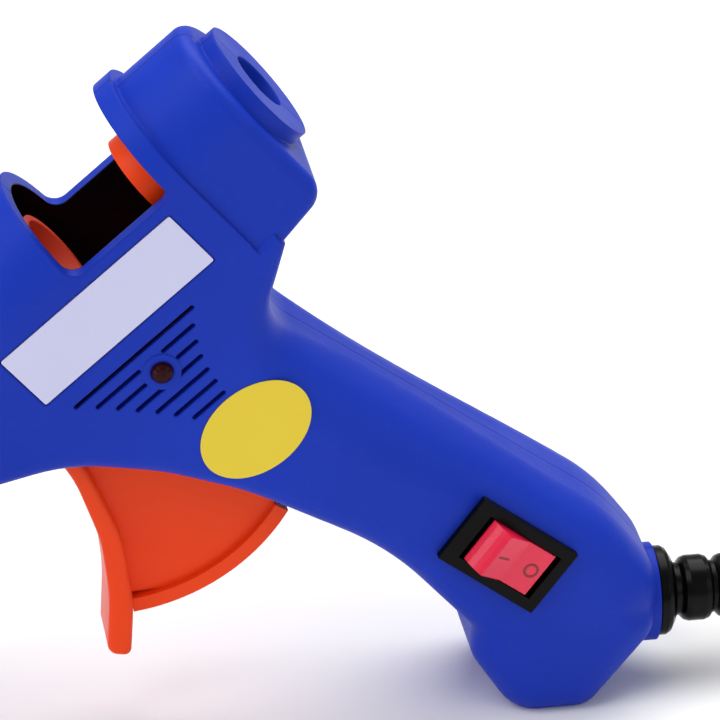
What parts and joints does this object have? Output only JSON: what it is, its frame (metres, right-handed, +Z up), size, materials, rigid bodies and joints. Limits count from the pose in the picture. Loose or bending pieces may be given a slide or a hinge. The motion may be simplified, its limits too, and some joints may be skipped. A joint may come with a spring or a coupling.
{
  "type": "glue gun",
  "caption": "Small hot-melt glue gun with trigger feed, rocker switch, pilot lamp, wire stand and a mains cord with plug.",
  "frame": {"origin": "on the floor under the middle of the gun, cord left out, in its seam plane", "axes": "+X towards the cord end along the gun's length, +Y square to the seam away from the switch side, +Z up"},
  "size_m": [0.3369, 0.049, 0.1028],
  "materials": {
    "blue_shell": "fine-grained matte",
    "orange_part": "satin",
    "orange_silicone": "matte",
    "black_plastic": "satin",
    "red_key": "gloss",
    "red_lens": "gloss",
    "label_white": "satin",
    "sticker_yellow": "gloss",
    "steel_wire": "bright zinc",
    "steel": "plated",
    "cast_aluminium": "as cast",
    "brass": "turned",
    "ceramic_heater": "kapton wrapped",
    "board_green": "solder mask",
    "resistor_tan": "lacquer",
    "terminal_brass": "tinned",
    "black_rubber": "glossy",
    "lead_white": "fibreglass sleeve",
    "lead_blue": "pvc",
    "lead_brown": "pvc",
    "crimp_clear": "nylon",
    "pin_nickel": "nickel"
  },
  "bodies": {
    "gun_body": {"near_shell": "blue_shell", "far_shell": "blue_shell", "case_screws": "steel", "trigger_pin": "steel", "return_spring": "steel_wire", "inlet_sleeve": "orange_silicone", "sleeve_clamp": "steel", "melt_chamber": "cast_aluminium", "ptc_heater": "ceramic_heater", "nozzle": "brass", "nozzle_collar": "black_plastic", "rating_label": "label_white", "oval_sticker": "sticker_yellow", "indicator_lens": "red_lens", "led_board": "board_green", "resistor": "resistor_tan", "switch_housing": "black_plastic", "switch_terminals": "terminal_brass", "strain_relief": "black_rubber", "cord_clamp": "black_plastic", "clamp_screws": "steel", "heater_lead_near": "lead_white", "heater_lead_far": "lead_white", "neutral_lead": "lead_blue", "live_lead": "lead_brown", "end_crimp": "crimp_clear", "cord": "black_rubber", "cord_tail": "black_rubber", "cord_hank": "black_rubber", "hank_ties": "black_plastic", "plug_body": "black_rubber", "plug_pins": "pin_nickel"},
    "trigger_body": {"trigger": "orange_part", "drive_pin": "steel"},
    "carriage_body": {"feed_carriage": "orange_part", "grip_pin": "steel"},
    "grip_body": {"grip_lever": "steel"},
    "rocker_body": {"switch_rocker": "red_key"},
    "stand_body": {"wire_stand": "steel_wire"}
  },
  "joints": [
    {"name": "trigger_pull", "type": "hinge", "parent": "gun_body", "child": "trigger_body", "pos_m": [-0.01951, 0, 0.04657], "axis": [0, -1, 0], "range_deg": [0, 28], "stiffness_Nm_per_rad": 0.1, "springref_deg": -11.46},
    {"name": "carriage_slide", "type": "slide", "parent": "gun_body", "child": "carriage_body", "axis": [-0.7571, 0, -0.6533], "range_m": [0, 0.006], "deforming": ["return_spring"]},
    {"name": "grip_bite", "type": "hinge", "parent": "carriage_body", "child": "grip_body", "pos_m": [-0.00972, 0, 0.07258], "axis": [0, 1, 0], "range_deg": [0, 8]},
    {"name": "rocker_tilt", "type": "hinge", "parent": "gun_body", "child": "rocker_body", "pos_m": [0.03561, -0.011, 0.02677], "axis": [-0.602, 0, -0.7985], "range_deg": [0, 33]},
    {"name": "stand_fold", "type": "hinge", "parent": "gun_body", "child": "stand_body", "pos_m": [-0.0524, 0, 0.03708], "axis": [0, 1, 0], "range_deg": [0, 58]}
  ],
  "couplings": [
    {"joint": "carriage_slide", "follows": "trigger_pull", "m_per_rad": 0.01227}
  ]
}
